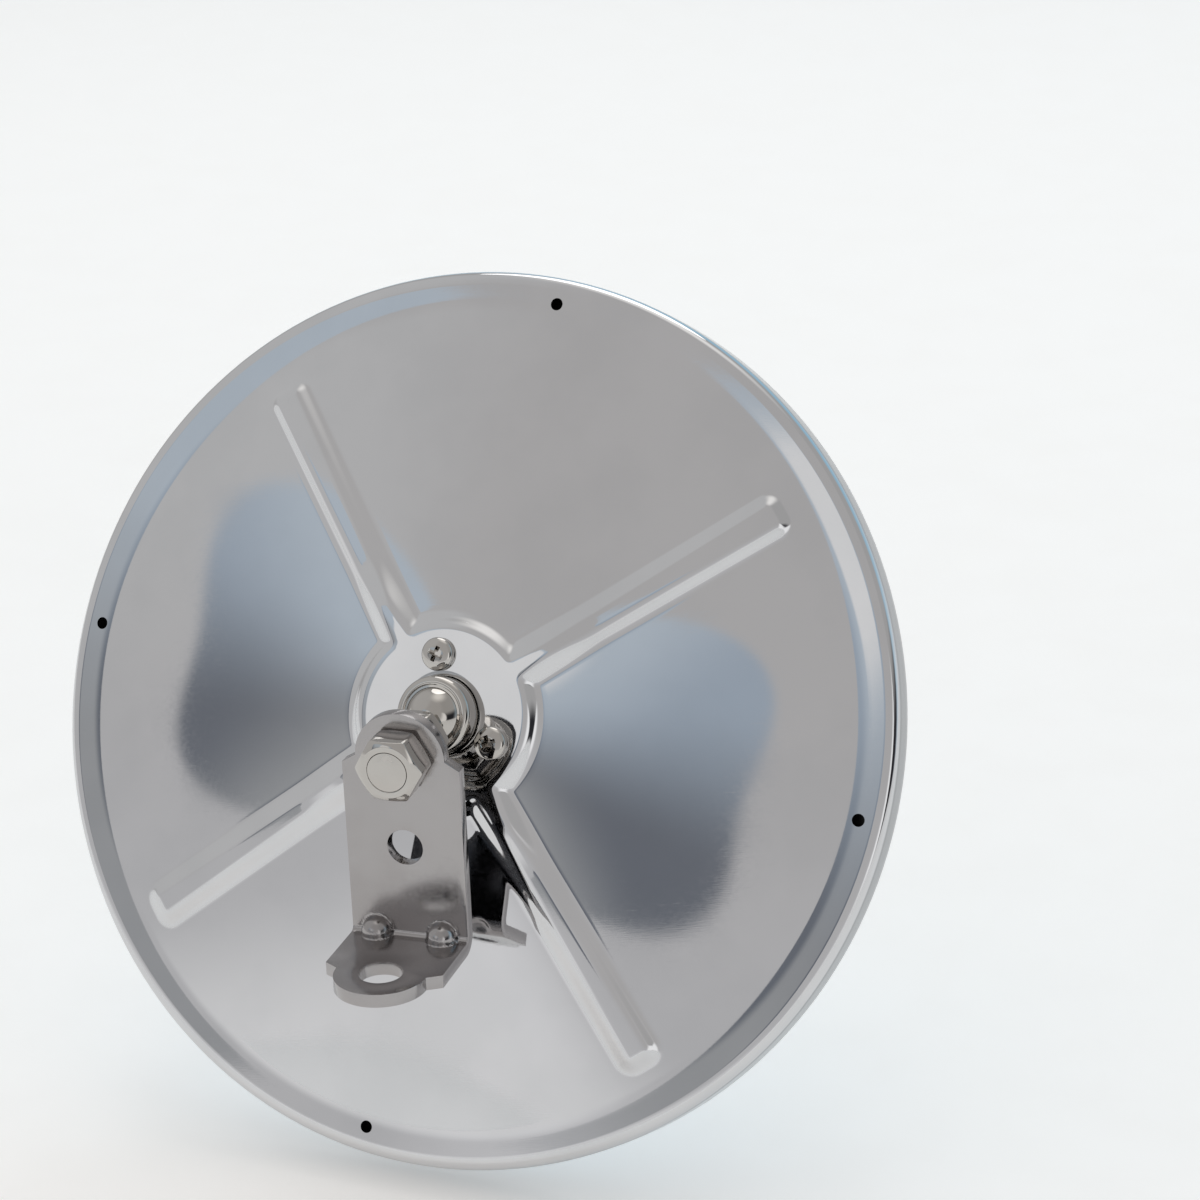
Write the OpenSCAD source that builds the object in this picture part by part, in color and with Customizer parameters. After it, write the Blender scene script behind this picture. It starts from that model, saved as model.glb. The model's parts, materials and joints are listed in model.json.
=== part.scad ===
// Round convex security mirror: a ribbed pressed-steel back with a rubber-bound convex glass,
// on a ball stud that bolts to an L bracket.
// Origin: centre of the hole in the bracket's foot, on the foot's underside.
// +Z is up, +Y points behind the mirror, and the glass faces -Y.

/* [Mirror head] */
// Outer diameter of the steel back
head_d = 216; // [208:1:224]
// Depth of the straight skirt, from the flange to the front edge
skirt_depth = 8.5; // [7.5:0.1:9.5]
// Outer radius of the corner between flange and skirt
rim_corner_r = 2.4; // [1.6:0.1:3.2]
// Width of the flat flange round the dome, corner included
flange_w = 8.5; // [7.5:0.1:10]
// Rise of the dome from the flange to the hub's foot
dome_rise = 10; // [9:0.1:11]
// Slope of the dome at the hub's foot, as rise over run
dome_slope = 0.125; // [0.1:0.005:0.13]
// Thickness of the sheet steel
sheet_t = 0.8; // [0.6:0.1:1]
// Drop from the top of the hub to the flange
flange_drop = 12.3; // [12:0.1:14]
// Radius of the flat top of the hub
hub_r = 20.6; // [20.4:0.1:22]
// Radius of the hub's wall where it meets the dome
hub_base_r = 23.2; // [22.2:0.1:24]
// Radius of the hub's centre hole, round the ball socket
hub_hole_r = 9.6; // [9.5:0.1:10.5]
// Drain holes in the flange
drain_count = 4; // [2:1:8]
// Radius of one drain hole
drain_r = 1.5; // [1:0.1:2]
// Distance of the drain holes from the centre
drain_circle_r = 101.4; // [101.2:0.1:102]

/* [Ribs] */
// Number of pressed ribs
rib_count = 4; // [3:1:6]
// Height of a rib above the dome
rib_h = 1.8; // [1.2:0.1:2]
// Width of a rib at the hub
rib_w_in = 10.6; // [9:0.1:12]
// Width of a rib at its round outer end
rib_w_out = 10; // [8:0.1:11]
// Distance of a rib's tip from the centre
rib_end_r = 95; // [80:0.5:95]

/* [Glass and gasket] */
// Radius of curvature of the glass's front
glass_curve_r = 320; // [300:5:400]
// Thickness of the glass
glass_t = 3; // [2.5:0.1:3.2]
// Radius of the cut glass
glass_edge_r = 102.5; // [102:0.1:102.8]
// Radius of the glass that shows inside the gasket
glass_open_r = 96; // [95.5:0.1:97]
// Drop from the flange to the glass's front face at the gasket's lip
glass_drop = 11.7; // [11.4:0.1:12]

/* [Ball socket] */
// Radius of the ball on the stud
ball_r = 7.94; // [7.8:0.02:8.1]
// Height of the ball's centre above the top of the hub
ball_above_hub = 1; // [0.5:0.1:1.5]
// Running clearance between ball and socket
ball_gap = 0.06; // [0.03:0.01:0.1]
// Thickness of the socket plates
plate_t = 1; // [0.8:0.1:1]
// Radius of the socket plates
plate_r = 19.4; // [19:0.1:19.5]
// Radius of the socket collar's rounded lip, in section
lip_r = 1.5; // [1.3:0.1:1.6]
// Height of that lip above the ball's centre
lip_height = 3.3; // [3:0.1:3.5]
// Wall of the socket collar, beyond the ball
collar_wall = 1.3; // [1.1:0.1:1.4]
// Radius of the nylon seat in front of the ball
seat_r = 8.6; // [8.5:0.05:8.7]
// Distance of the three clamp screws from the centre
screw_circle_r = 14.5; // [14:0.1:15]

/* [Clamp screws] */
// Number of clamp screws
screw_count = 3; // [3:1:3]
// Shank radius of a clamp screw
screw_r = 2.08; // [2:0.01:2.15]
// Radius of a screw's pan head
screw_head_r = 4; // [3.8:0.1:4.2]
// Height of a screw's pan head
screw_head_h = 2.5; // [2.2:0.1:2.8]
// Length of a screw under its head
screw_len = 15.9; // [15.5:0.1:17]
// Width across the flats of a clamp screw's nut
screw_nut_af = 8.73; // [8:0.01:9]
// Height of a clamp screw's nut
screw_nut_h = 3.2; // [3:0.1:3.4]

/* [Stud and nuts] */
// Radius of the threaded shank
stud_r = 4.76; // [4.7:0.01:4.8]
// Radius of the neck next to the ball
neck_r = 3.4; // [3.2:0.1:3.5]
// Distance from the ball's centre to the stud's end
stud_end = 35.1; // [35:0.1:38]
// Width across the flats of both stud nuts
nut_af = 14.29; // [14.2:0.01:14.4]
// Height of the outer nut
nut_h = 8.3; // [8:0.1:8.4]
// Height of the jam nut
jam_nut_h = 5.6; // [5.4:0.1:5.7]
// Radius of the split lock washer
lock_washer_r = 8.4; // [8:0.1:8.6]
// Height of the split lock washer
lock_washer_h = 2.2; // [2:0.1:2.4]
// Radius of the flat washer
flat_washer_r = 9.8; // [9:0.1:10.3]
// Height of the flat washer
flat_washer_h = 1.6; // [1.2:0.1:1.7]

/* [Bracket] */
// Width of the bracket's strip
bracket_w = 28.6; // [26:0.1:32]
// Thickness of the strip
bracket_t = 3.2; // [3:0.1:3.4]
// Height of the stud above the foot's underside
stud_height = 48; // [46:0.5:56]
// Distance from the ball's centre to the plate's outer face
plate_out = 26.5; // [26.4:0.1:27]
// Distance from the plate's outer face to the foot's hole
foot_hole_out = 19.2; // [18:0.1:24]
// Radius of the foot's hole
foot_hole_r = 5.16; // [4.5:0.01:5.5]
// Radius of the spare hole in the plate
spare_hole_r = 4.37; // [4:0.01:5]
// Distance of the spare hole below the stud
spare_hole_drop = 22.2; // [20:0.1:24]
// Radius of the strip's round ends
end_r = 10.9; // [10.5:0.1:12]
// Length of the straight shoulder before each round end
shoulder = 2; // [1:0.1:3]
// Inside radius of the bend
bend_r = 1.4; // [1:0.1:2]
// Radius of the two stiffening dimples in the bend
dimple_r = 3.7; // [3:0.1:4]
// Distance of each dimple from the middle
dimple_x = 8; // [7:0.1:10]

/* [Rest pose] */
// Lean of the head off the stud's axis, in degrees
head_lean = 23.4; // [0:0.1:27]
// Direction of the lean, about the stud, from straight up
lean_direction = 10; // [-20:0.5:20]

/* [Hidden] */
$fn = 96;

steel = [0.72, 0.73, 0.74];
satin = [0.66, 0.65, 0.64];
nickel = [0.70, 0.67, 0.62];
rubber_black = [0.11, 0.10, 0.10];
glass_blue = [0.75, 0.87, 0.94];
nylon = [0.88, 0.87, 0.82];

cut = 0.5; // how far a cutting tool runs past a face
fit_gap = 0.04; // thread or hole round a fastener of the same body
snug = 0.1; // gasket's clearance round glass and steel

// Ball centre in the row frame: everything on the stud and head hangs from it.
ball_y = -(foot_hole_out + plate_out);

// Heights along the mirror's axis, from the ball's centre, positive towards the back.
head_r = head_d / 2;
hub_top = -ball_above_hub;
flange_top = hub_top - flange_drop;
skirt_front = flange_top - skirt_depth;
flange_in_r = head_r - flange_w;
hem_w = 1.6; // width of the skirt's turned-in edge
hub_foot_z = flange_top + dome_rise;
hub_rise = hub_top - hub_foot_z;
dome_run = flange_in_r - hub_base_r;
rib_turn = 26;
drain_turn = 72;
screw_turn = 28.5;

glass_front = flange_top - glass_drop; // at the gasket's lip
glass_centre = glass_front + sqrt(glass_curve_r * glass_curve_r - glass_open_r * glass_open_r);

socket_r = ball_r + ball_gap;
collar_r = socket_r + collar_wall;
retainer_top = hub_top - sheet_t;
retainer_bottom = retainer_top - plate_t;
seat_gap = 0.3; // between the seat, which stays still, and the plates that turn round it
seat_top = retainer_bottom - seat_gap;
seat_floor = 3.6; // nylon under the ball
seat_bottom = -socket_r - seat_floor;
spring_play = 0.1;
spring_h = 1.1;
spring_in_r = 4;
well_r = seat_r + seat_gap + plate_t;
well_floor = seat_bottom - spring_play - spring_h - plate_t;
clamp_space = 5; // between the two socket plates
clamp_top = retainer_bottom - clamp_space;
clamp_bottom = clamp_top - plate_t;
screw_washer_h = 1;
screw_washer_r = 3.75;

plate_in = plate_out - bracket_t;
flat_washer_at = plate_in - flat_washer_h;
lock_washer_at = flat_washer_at - lock_washer_h;
jam_nut_at = lock_washer_at - jam_nut_h;
neck_end = 12.6;
neck_taper = 1;
stud_chamfer = 1.3;
stud_hole_r = stud_r + 0.09; // running fit, so that the stud can turn in the plate

// Places its children, drawn about +Z, on the stud's axis with the ball's centre at 0.
module on_stud() {
    translate([0, ball_y, stud_height]) rotate([-90, 0, 0]) children();
}

// Places its children, drawn about +Z with the ball's centre at 0, on the leaning head.
module on_head() {
    translate([0, ball_y, stud_height])
        rotate([0, lean_direction, 0])
            rotate([head_lean, 0, 0])
                rotate([-90, 0, 0]) children();
}

// Copies its children to the clamp screw of that number.
module at_screw(i) {
    rotate([0, 0, screw_turn + (i - 1) * 360 / screw_count]) translate([screw_circle_r, 0, 0]) children();
}

module at_each_screw() {
    for (i = [1 : screw_count]) at_screw(i) children();
}

module ring(r_out, r_in, h) {
    difference() {
        cylinder(r = r_out, h = h);
        translate([0, 0, -cut]) cylinder(r = r_in, h = h + 2 * cut);
    }
}

// Hexagon nut with both rims of its corners chamfered.
module hex_nut(af, h, bore_r) {
    corner_r = af / sqrt(3);
    rim = corner_r * 0.12;
    difference() {
        intersection() {
            cylinder(r = corner_r, h = h, $fn = 6);
            rotate_extrude()
                polygon([
                    [0, 0], [corner_r - rim, 0], [corner_r, rim * 0.6],
                    [corner_r, h - rim * 0.6], [corner_r - rim, h], [0, h],
                ]);
        }
        translate([0, 0, -cut]) cylinder(r = bore_r, h = h + 2 * cut);
    }
}

// ---- bracket ----

// Strip with one round end about a hole at [0, 0], reaching back to y = -len.
module strip_outline(len) {
    circle(r = end_r);
    polygon([
        [-bracket_w / 2, -len], [bracket_w / 2, -len], [bracket_w / 2, -shoulder],
        [end_r, 0], [-end_r, 0], [-bracket_w / 2, -shoulder],
    ]);
}

module l_bracket() {
    plate_y = -foot_hole_out; // the plate's outer face
    bend_out = bend_r + bracket_t;
    color(satin)
    difference() {
        union() {
            translate([0, plate_y, stud_height]) rotate([90, 0, 0])
                linear_extrude(bracket_t) strip_outline(stud_height - bend_out);
            linear_extrude(bracket_t) strip_outline(foot_hole_out - bend_r);
            translate([-bracket_w / 2, plate_y + bend_r, bend_out]) rotate([90, 0, 90])
                linear_extrude(bracket_w)
                    difference() {
                        intersection() {
                            circle(r = bend_out);
                            translate([-bend_out, -bend_out]) square(bend_out);
                        }
                        circle(r = bend_r);
                    }
            for (side = [-1, 1])
                translate([side * dimple_x, plate_y + bend_r * 0.5, bracket_t + bend_r * 0.5])
                    sphere(r = dimple_r);
        }
        for (side = [-1, 1])
            translate([side * dimple_x, plate_y - bracket_t - bend_r * 0.2, -bend_r * 0.2])
                sphere(r = dimple_r);
        translate([0, 0, -cut]) cylinder(r = foot_hole_r, h = bracket_t + 2 * cut);
        for (hole = [[stud_height, stud_hole_r], [stud_height - spare_hole_drop, spare_hole_r]])
            translate([0, plate_y + cut, hole[0]]) rotate([90, 0, 0])
                cylinder(r = hole[1], h = bracket_t + 2 * cut);
    }
}

// ---- stud and its fasteners ----

module ball_stud() {
    color(nickel) on_stud() {
        sphere(r = ball_r);
        rotate_extrude()
            polygon([
                [0, 0], [neck_r, 0], [neck_r, neck_end], [stud_r, neck_end + neck_taper],
                [stud_r, stud_end - stud_chamfer], [stud_r - stud_chamfer, stud_end], [0, stud_end],
            ]);
    }
}

module stud_nut() {
    color(nickel) on_stud() translate([0, 0, plate_out]) hex_nut(nut_af, nut_h, stud_r + fit_gap);
}

module jam_nut() {
    color(nickel) on_stud() translate([0, 0, jam_nut_at]) hex_nut(nut_af, jam_nut_h, stud_r + fit_gap);
}

module stud_lock_washer() {
    split = 1.2;
    color(nickel) on_stud() translate([0, 0, lock_washer_at])
        difference() {
            ring(lock_washer_r, stud_r + fit_gap, lock_washer_h);
            translate([0, -split / 2, -cut]) cube([2 * lock_washer_r, split, lock_washer_h + 2 * cut]);
        }
}

module stud_flat_washer() {
    color(nickel) on_stud() translate([0, 0, flat_washer_at])
        ring(flat_washer_r, stud_r + fit_gap, flat_washer_h);
}

// ---- ball socket ----

module ball_seat() {
    color(nylon) on_head()
        difference() {
            translate([0, 0, seat_bottom]) cylinder(r = seat_r, h = seat_top - seat_bottom);
            sphere(r = socket_r);
        }
}

module ball_retainer() {
    color(nickel) on_head()
        difference() {
            union() {
                translate([0, 0, retainer_bottom]) cylinder(r = plate_r, h = plate_t);
                translate([0, 0, retainer_bottom]) cylinder(r = collar_r, h = lip_height - retainer_bottom);
                rotate_extrude() translate([collar_r - lip_r, lip_height]) circle(r = lip_r);
            }
            sphere(r = socket_r);
            // the ball goes in from this side
            translate([0, 0, retainer_bottom - cut]) cylinder(r = socket_r, h = cut - retainer_bottom);
            at_each_screw() translate([0, 0, retainer_bottom - cut])
                cylinder(r = screw_r + fit_gap, h = plate_t + 2 * cut);
        }
}

module spring_washer() {
    color(steel) on_head() translate([0, 0, well_floor + plate_t])
        ring(seat_r - 0.6, spring_in_r, spring_h);
}

module clamp_plate() {
    color(satin) on_head()
        difference() {
            union() {
                translate([0, 0, clamp_bottom]) cylinder(r = plate_r, h = plate_t);
                translate([0, 0, well_floor]) cylinder(r = well_r, h = clamp_top - well_floor);
            }
            translate([0, 0, well_floor + plate_t])
                cylinder(r = well_r - plate_t, h = clamp_top - well_floor);
            at_each_screw() translate([0, 0, clamp_bottom - cut])
                cylinder(r = screw_r + fit_gap, h = plate_t + 2 * cut);
        }
}

// Pan head machine screw with a cross recess, its head's underside at z = 0.
module pan_screw() {
    edge_h = screw_head_h * 0.4;
    crown_h = screw_head_h - edge_h;
    crown_r = (screw_head_r * screw_head_r + crown_h * crown_h) / (2 * crown_h);
    slot_w = 1.1;
    slot_len = 4.4;
    slot_depth = 1.5;
    difference() {
        union() {
            intersection() {
                cylinder(r = screw_head_r, h = screw_head_h);
                translate([0, 0, screw_head_h - crown_r]) sphere(r = crown_r);
            }
            translate([0, 0, -screw_len]) cylinder(r = screw_r, h = screw_len + cut);
        }
        for (turn = [45, 135])
            rotate([0, 0, turn]) translate([-slot_len / 2, -slot_w / 2, screw_head_h - slot_depth])
                cube([slot_len, slot_w, slot_depth + cut]);
    }
}

module clamp_screw(i) {
    color(nickel) on_head() at_screw(i) translate([0, 0, hub_top]) pan_screw();
}

module screw_washer(i) {
    split = 0.8;
    color(satin) on_head() at_screw(i) translate([0, 0, clamp_bottom - screw_washer_h])
        difference() {
            ring(screw_washer_r, screw_r + fit_gap, screw_washer_h);
            translate([0, -split / 2, -cut]) cube([screw_washer_r + cut, split, screw_washer_h + 2 * cut]);
        }
}

module screw_nut(i) {
    color(satin) on_head() at_screw(i)
        translate([0, 0, clamp_bottom - screw_washer_h - screw_nut_h]) rotate([0, 0, 30])
            hex_nut(screw_nut_af, screw_nut_h, screw_r + fit_gap);
}

// ---- mirror head ----

// Height of the dome, almost a cone, at run u from the hub's foot (0) to the flange (1).
function dome_z(u) = hub_foot_z - dome_slope * dome_run * u - (dome_rise - dome_slope * dome_run) * u * u;

// Solid dome raised by a height, flat under the hub.
module dome_form(raised) {
    steps = 12;
    rotate_extrude($fn = 192)
        polygon(concat(
            [[0, skirt_front], [flange_in_r, skirt_front]],
            [for (i = [steps : -1 : 0]) [hub_base_r + dome_run * i / steps, dome_z(i / steps) + raised]],
            [[0, hub_foot_z + raised]]
        ));
}

// Solid body whose skin lies the given depth under the back's outer surface.
module back_form(depth) {
    wall_r = head_r - depth;
    corner = rim_corner_r - depth;
    below = depth > 0 ? cut : 0;
    // skirt, corner and flange
    rotate_extrude() {
        translate([0, skirt_front - below])
            square([wall_r, skirt_depth - rim_corner_r + below]);
        translate([0, skirt_front]) square([head_r - rim_corner_r, skirt_depth - depth]);
        translate([head_r - rim_corner_r, flange_top - rim_corner_r]) circle(r = corner);
    }
    dome_form(-depth);
    // hub
    translate([0, 0, hub_top - 2 * hub_rise - depth])
        cylinder(r1 = 2 * hub_base_r - hub_r - depth, r2 = hub_r - depth, h = 2 * hub_rise);
    // ribs
    for (i = [0 : rib_count - 1])
        intersection() {
            dome_form(rib_h - depth);
            rotate([0, 0, rib_turn + i * 360 / rib_count]) translate([0, 0, skirt_front + cut])
                linear_extrude(skirt_depth + dome_rise + rib_h) rib_outline(depth);
        }
}

module rib_outline(depth) {
    tip_r = rib_w_out / 2 - depth;
    tip_x = rib_end_r - rib_w_out / 2;
    translate([tip_x, 0]) circle(r = tip_r);
    polygon([
        [0, rib_w_in / 2 - depth], [hub_r, rib_w_in / 2 - depth], [tip_x, tip_r],
        [tip_x, -tip_r], [hub_r, -rib_w_in / 2 + depth], [0, -rib_w_in / 2 + depth],
    ]);
}

module back_shell() {
    color(steel) on_head()
        difference() {
            union() {
                difference() {
                    back_form(0);
                    back_form(sheet_t);
                }
                translate([0, 0, skirt_front]) ring(head_r - sheet_t / 2, head_r - sheet_t - hem_w, sheet_t);
            }
            translate([0, 0, retainer_bottom]) cylinder(r = hub_hole_r, h = flange_drop);
            at_each_screw() translate([0, 0, retainer_bottom])
                cylinder(r = screw_r + fit_gap, h = plate_t + sheet_t + cut);
            for (i = [0 : drain_count - 1])
                rotate([0, 0, drain_turn + i * 360 / drain_count])
                    translate([drain_circle_r, 0, flange_top - sheet_t - cut])
                        cylinder(r = drain_r, h = sheet_t + 2 * cut);
        }
}

// Section of the glass, grown by a margin.
module glass_section(margin) {
    intersection() {
        translate([0, glass_centre])
            difference() {
                circle(r = glass_curve_r + margin, $fn = 360);
                circle(r = glass_curve_r - glass_t - margin, $fn = 360);
            }
        translate([0, glass_centre - glass_curve_r - cut])
            square([glass_edge_r + margin, glass_curve_r / 2]);
    }
}

module mirror_glass() {
    color(glass_blue) on_head() rotate_extrude() glass_section(0);
}

// Point at t on the quadratic curve from a to c that bends towards b.
function bend_point(a, b, c, t) = (1 - t) * (1 - t) * a + 2 * t * (1 - t) * b + t * t * c;

// Section of the gasket: a leg behind the glass, a bead in front of it and a foot on the flange.
module gasket_section() {
    wall = head_r - sheet_t - snug; // inside the skirt
    crest = [glass_open_r + 4.6, glass_front - 3.4];
    edge = [head_r - 0.1, skirt_front - snug];
    lip = [glass_open_r + 1, glass_front - 1.5];
    steps = 8;
    inside = 0.3; // depth of the section's hidden points inside the glass
    leg_back = flange_top - sheet_t - 3.9;
    leg_in_r = glass_edge_r - 4;
    foot_in_r = drain_circle_r + drain_r + 0.6;
    difference() {
        polygon(concat(
            [for (i = [0 : steps]) bend_point(edge, [edge[0] - 2.6, crest[1] + 0.5], crest, i / steps)],
            [for (i = [1 : steps])
                bend_point(crest, [crest[0] - 2.2, crest[1]], [lip[0] + 1.2, lip[1] + 0.3], i / steps)],
            [for (i = [1 : steps])
                bend_point([lip[0] + 1.2, lip[1] + 0.3], [lip[0], lip[1] - 0.9],
                           [glass_open_r, glass_front], i / steps)],
            [
                [glass_open_r, glass_front + inside], [leg_in_r, glass_front + glass_t / 2],
                [leg_in_r, leg_back], [foot_in_r, leg_back], [foot_in_r, flange_top - sheet_t - snug],
                [head_r - rim_corner_r - sheet_t, flange_top - sheet_t - snug],
                [wall, flange_top - rim_corner_r - sheet_t], [wall, skirt_front - snug],
            ]
        ));
        glass_section(snug);
        // groove for the skirt's turned-in hem
        translate([head_r - sheet_t - hem_w - snug, skirt_front - snug])
            square([head_r, sheet_t + 2 * snug]);
    }
}

module rubber_gasket() {
    color(rubber_black) on_head() rotate_extrude() gasket_section();
}

l_bracket();
ball_stud();
stud_nut();
jam_nut();
stud_lock_washer();
stud_flat_washer();
ball_seat();
back_shell();
mirror_glass();
rubber_gasket();
ball_retainer();
spring_washer();
clamp_plate();
clamp_screw(1);  // clamp_screw_1
clamp_screw(2);  // clamp_screw_2
clamp_screw(3);  // clamp_screw_3
screw_washer(1);  // screw_washer_1
screw_washer(2);  // screw_washer_2
screw_washer(3);  // screw_washer_3
screw_nut(1);  // screw_nut_1
screw_nut(2);  // screw_nut_2
screw_nut(3);  // screw_nut_3
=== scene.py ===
"""Looks of the convex security mirror: finer meshes and finishes on the CAD frame, with studio and camera."""

import json
import math

import bmesh
import bpy
import numpy as np
from mathutils import Matrix, Vector
from mathutils.geometry import delaunay_2d_cdt


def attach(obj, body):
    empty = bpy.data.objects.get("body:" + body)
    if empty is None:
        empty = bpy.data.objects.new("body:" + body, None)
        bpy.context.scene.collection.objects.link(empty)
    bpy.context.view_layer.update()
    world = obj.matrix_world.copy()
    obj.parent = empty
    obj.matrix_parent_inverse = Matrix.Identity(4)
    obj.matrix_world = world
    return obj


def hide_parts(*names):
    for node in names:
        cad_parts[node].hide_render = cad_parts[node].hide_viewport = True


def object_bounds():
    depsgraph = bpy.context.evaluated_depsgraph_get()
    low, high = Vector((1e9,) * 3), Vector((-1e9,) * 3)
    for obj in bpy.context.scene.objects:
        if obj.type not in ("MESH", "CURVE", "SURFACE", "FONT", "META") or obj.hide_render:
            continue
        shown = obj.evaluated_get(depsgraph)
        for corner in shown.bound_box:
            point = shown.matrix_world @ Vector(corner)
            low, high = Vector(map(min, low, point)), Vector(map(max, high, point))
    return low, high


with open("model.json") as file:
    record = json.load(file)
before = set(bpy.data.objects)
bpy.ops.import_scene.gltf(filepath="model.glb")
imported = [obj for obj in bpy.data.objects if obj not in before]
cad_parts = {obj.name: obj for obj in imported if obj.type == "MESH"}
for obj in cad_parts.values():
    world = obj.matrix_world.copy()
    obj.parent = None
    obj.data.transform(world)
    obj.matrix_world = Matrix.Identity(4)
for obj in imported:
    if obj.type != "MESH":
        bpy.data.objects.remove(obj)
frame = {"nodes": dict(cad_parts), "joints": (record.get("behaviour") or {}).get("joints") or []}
cad_low, cad_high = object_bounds()

MM = 0.001
TAU = 2 * math.pi

# Points closer than this, in metres, become one: in a finished mesh, and on the axis of a turned one.
MERGE = 1e-6
AXIS_MERGE = 1e-7

# ---- places: millimetres in a local frame, turned into the row frame by these ----

joints = {j["name"]: j for j in frame["joints"]}
head_axis = Vector(joints["head_spin"]["axis"]).normalized()
lean_axis = Vector(joints["head_lean"]["axis"]).normalized()
stud_axis = Vector(joints["stud_turn"]["axis"]).normalized()
ball = Vector(joints["head_spin"]["pos_m"])


def local_frame(x_axis, z_axis, origin):
    """Matrix from millimetres in a local frame to metres in the row frame."""
    y_axis = z_axis.cross(x_axis)
    turn = Matrix((x_axis, y_axis, z_axis)).transposed().to_4x4()
    return Matrix.Translation(origin) @ turn @ Matrix.Scale(MM, 4)


HEAD = local_frame(lean_axis, head_axis, ball)
STUD = local_frame(Vector((1, 0, 0)), stud_axis, ball)
ROW = Matrix.Scale(MM, 4)

# ---- mesh helpers ----


def smooth(t):
    """Rises from 0 to 1 with flat ends."""
    t = np.clip(t, 0, 1)
    return t * t * (3 - 2 * t)


def soft_max(a, b, k):
    """The larger of a and b, with a rounded change-over of size k."""
    h = np.clip(0.5 + 0.5 * (a - b) / k, 0, 1)
    return b * (1 - h) + a * h + k * h * (1 - h)


def face_out(mesh, merge=0.0):
    """Turns the normals out, after merging points closer than that."""
    bm = bmesh.new()
    bm.from_mesh(mesh)
    if merge > 0:
        bmesh.ops.remove_doubles(bm, verts=bm.verts, dist=merge)
    bmesh.ops.recalc_face_normals(bm, faces=bm.faces)
    bm.to_mesh(mesh)
    bm.free()


def mesh_piece(name, points, faces, place):
    """New object from points in a local frame, its normals facing out."""
    mesh = bpy.data.meshes.new(name)
    mesh.from_pydata([tuple(p) for p in points], [], faces)
    mesh.transform(place)
    obj = bpy.data.objects.new(name, mesh)
    bpy.context.scene.collection.objects.link(obj)
    face_out(mesh)
    return obj


def settle(obj, sharp=32):
    """Applies the modifiers, merges doubles and shades smooth all but the edges sharper than that angle."""
    evaluated = obj.evaluated_get(bpy.context.evaluated_depsgraph_get())
    mesh = bpy.data.meshes.new_from_object(evaluated)
    bm = bmesh.new()
    bm.from_mesh(mesh)
    bmesh.ops.remove_doubles(bm, verts=bm.verts, dist=MERGE)
    bmesh.ops.dissolve_degenerate(bm, edges=bm.edges, dist=MERGE)
    bm.to_mesh(mesh)
    bm.free()
    obj.modifiers.clear()
    old, obj.data = obj.data, mesh
    bpy.data.meshes.remove(old)
    mesh.name = obj.name
    mesh.polygons.foreach_set("use_smooth", [True] * len(mesh.polygons))
    mesh.set_sharp_from_angle(angle=math.radians(sharp))
    return obj


def bevel(obj, width, segments, angle):
    """Rounds the object's hard edges, with a width in millimetres."""
    m = obj.modifiers.new("round", "BEVEL")
    m.width = width * MM
    m.segments = segments
    m.limit_method = "ANGLE"
    m.angle_limit = math.radians(angle)
    m.use_clamp_overlap = True
    return settle(obj)


def cut(obj, tools):
    """Cuts the tools out of the object and removes them."""
    for tool in tools:
        m = obj.modifiers.new("cut", "BOOLEAN")
        m.operation = "DIFFERENCE"
        m.solver = "EXACT"
        m.object = tool
    settle(obj)
    for tool in tools:
        bpy.data.objects.remove(tool)
    return obj


def grid_faces(rows, columns, close_rows=False, close_columns=True):
    """Quads of a grid whose point at row i, column j has the index i * columns + j."""
    i = np.arange(rows if close_rows else rows - 1)
    j = np.arange(columns if close_columns else columns - 1)
    i, j = (a.ravel() for a in np.meshgrid(i, j, indexing="ij"))
    i2, j2 = (i + 1) % rows, (j + 1) % columns
    quads = np.stack([i * columns + j, i2 * columns + j, i2 * columns + j2, i * columns + j2], 1)
    return quads.tolist()


def rounded(corners, steps):
    """Section from corners (r, z, fillet), each of which becomes an arc-like curve."""
    made = []
    n = len(corners)
    for i, (r, z, fillet) in enumerate(corners):
        here = np.array((r, z))
        before = np.array(corners[i - 1][:2])
        after = np.array(corners[(i + 1) % n][:2])
        a = here + (before - here) * min(0.45, fillet / np.linalg.norm(before - here))
        b = here + (after - here) * min(0.45, fillet / np.linalg.norm(after - here))
        for t in np.linspace(0, 1, steps + 1):
            made.append((1 - t) ** 2 * a + 2 * t * (1 - t) * here + t * t * b)
    return made


def lathe(name, section, place, segments, radius=None):
    """Turned piece from a closed section of (r, z) points. radius(r, z, angle) may change their radii."""
    section = np.array(section, float)
    angle = np.arange(segments) * TAU / segments
    r = np.repeat(section[:, :1], segments, 1)
    z = np.repeat(section[:, 1:], segments, 1)
    if radius is not None:
        r = radius(r, z, angle[None, :])
    points = np.stack([r * np.cos(angle), r * np.sin(angle), z], -1).reshape(-1, 3)
    obj = mesh_piece(name, points, grid_faces(len(section), segments, close_rows=True), place)
    face_out(obj.data, AXIS_MERGE)
    return obj


def bent_towards(a, b, c, steps):
    """Points on the curve from a to c that bends towards b."""
    a, b, c = (np.array(p, float) for p in (a, b, c))
    return [(1 - t) ** 2 * a + 2 * t * (1 - t) * b + t * t * c for t in np.linspace(0, 1, steps + 1)]


# ---- sizes shared by the head's pieces, in millimetres from the ball's centre ----

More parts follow.
